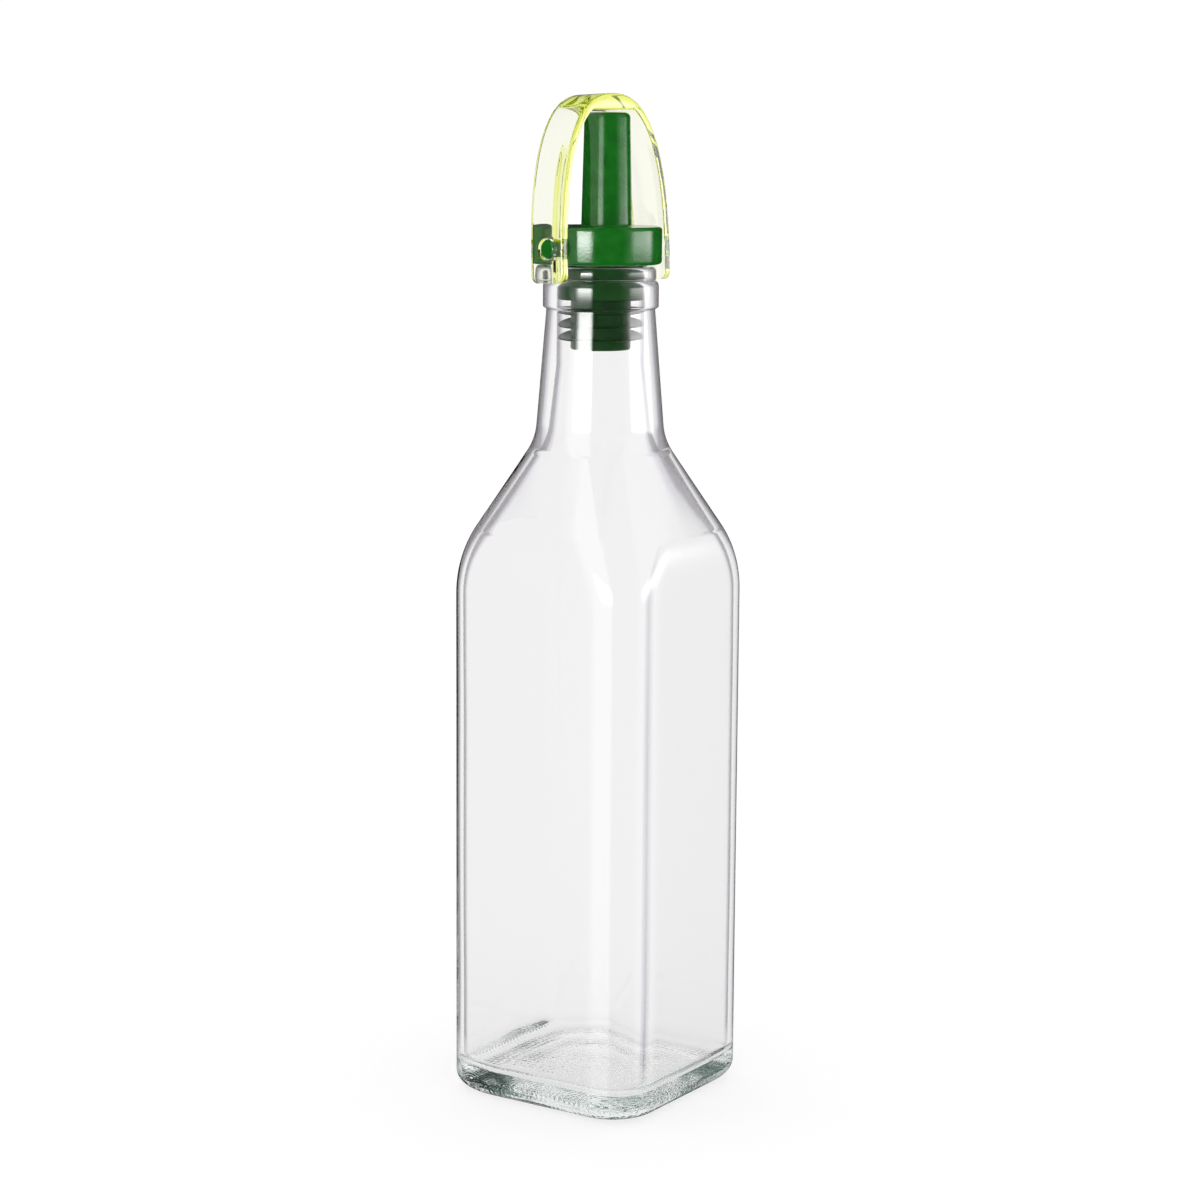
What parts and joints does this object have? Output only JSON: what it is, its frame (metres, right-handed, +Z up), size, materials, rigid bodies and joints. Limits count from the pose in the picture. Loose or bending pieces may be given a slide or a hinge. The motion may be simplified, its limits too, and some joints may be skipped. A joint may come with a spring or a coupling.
{
  "type": "glass oil bottle",
  "caption": "Square clear glass oil bottle with a green push-in pourer and a clear swing cap that pivots over the spout.",
  "frame": {"origin": "centre of the bottle's base, on the surface that it stands on", "axes": "+Z up along the bottle's axis, X and Y square to the body's flat sides; the cap's pivot axis lies 10.7 degrees off Y"},
  "size_m": [0.0648, 0.0648, 0.2837],
  "materials": {
    "clear_glass": "polished clear flint glass, faint green at thick edges",
    "green_polypropylene": "semi-gloss moulded green",
    "green_polyethylene": "soft satin moulded green",
    "clear_lime_plastic": "clear moulded plastic, yellow-green at the edges"
  },
  "bodies": {
    "bottle": {"glass_bottle": "clear_glass"},
    "pourer": {"pourer_body": "green_polypropylene", "ribbed_stopper": "green_polyethylene"},
    "cap": {"swing_cap": "clear_lime_plastic"}
  },
  "joints": [
    {"name": "pourer_pull", "type": "slide", "parent": "bottle", "child": "pourer", "axis": [0, 0, 1], "range_m": [0, 0.035]},
    {"name": "cap_swing", "type": "hinge", "parent": "pourer", "child": "cap", "pos_m": [0, 0, 0.2412], "axis": [-0.1857, -0.9826, 0], "range_deg": [-3, 127]}
  ]
}
